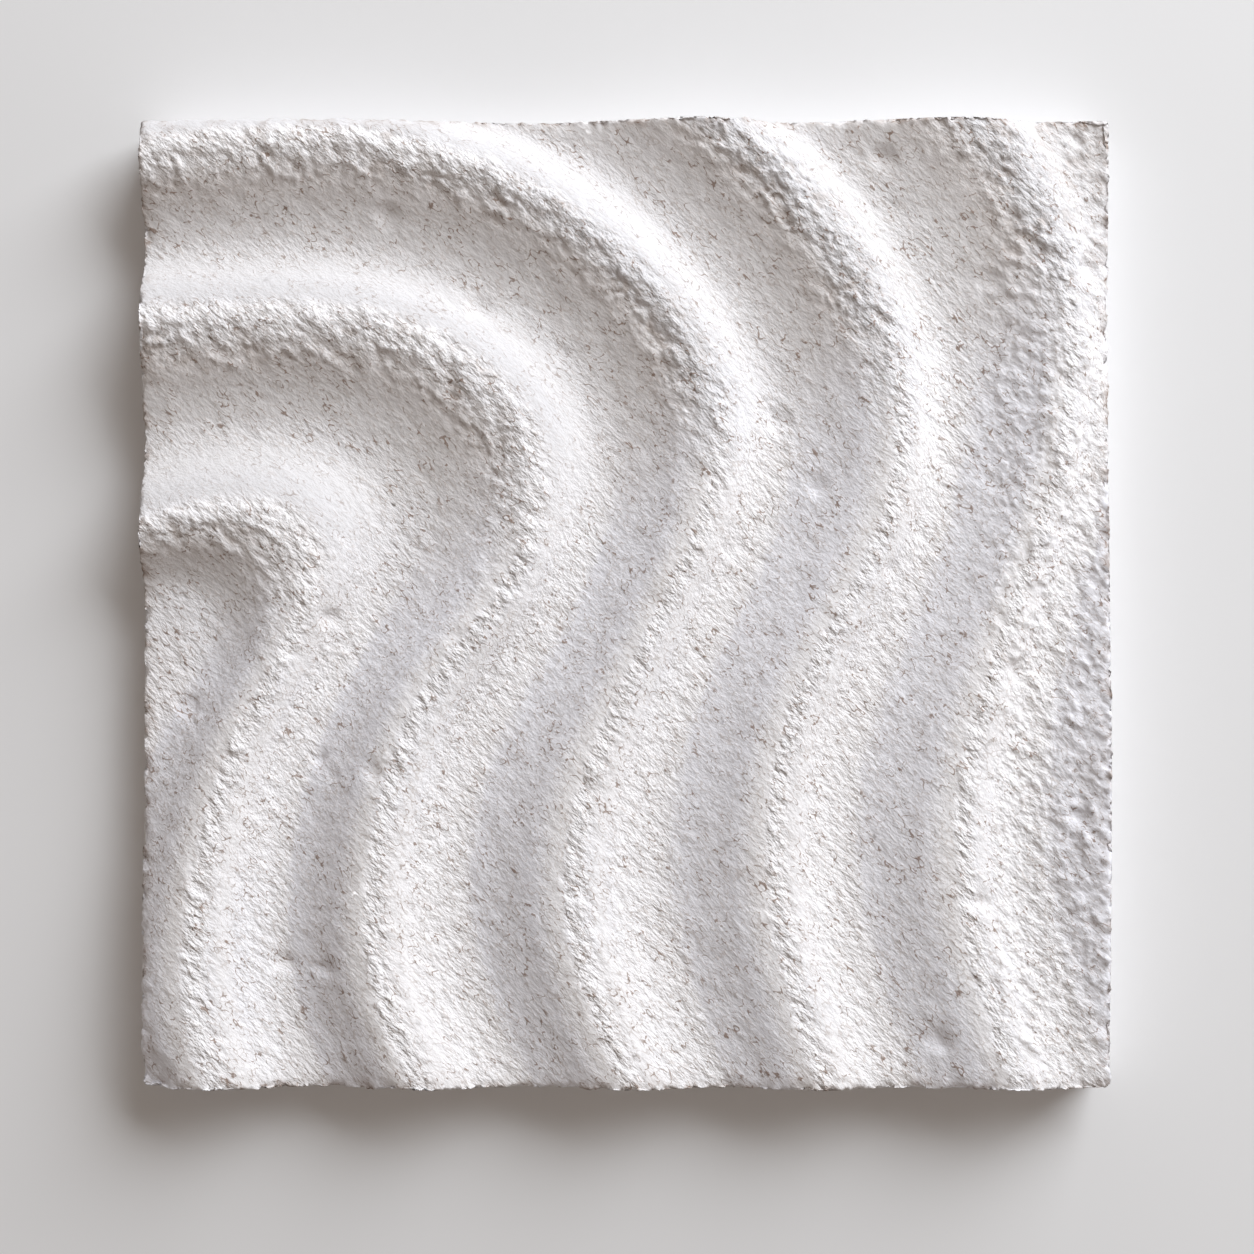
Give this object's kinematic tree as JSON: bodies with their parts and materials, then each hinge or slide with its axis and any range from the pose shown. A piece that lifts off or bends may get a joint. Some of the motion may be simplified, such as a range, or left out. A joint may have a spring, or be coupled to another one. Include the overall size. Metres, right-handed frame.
{
  "type": "wall relief panel",
  "caption": "Square white plaster wall panel, 300 x 300 mm, cast in one piece, with scooped flutes between S-shaped wave ridges that curl over to the left; bonded to a wall as decoration.",
  "frame": {"origin": "centre of the flat back face", "axes": "+X along the lower edge to the right, +Y towards the upper edge, +Z out of the wall, with the waves"},
  "size_m": [0.3, 0.3, 0.0273],
  "materials": {
    "plaster": "matte"
  },
  "bodies": {
    "root": {"relief_panel": "plaster"}
  },
  "joints": []
}
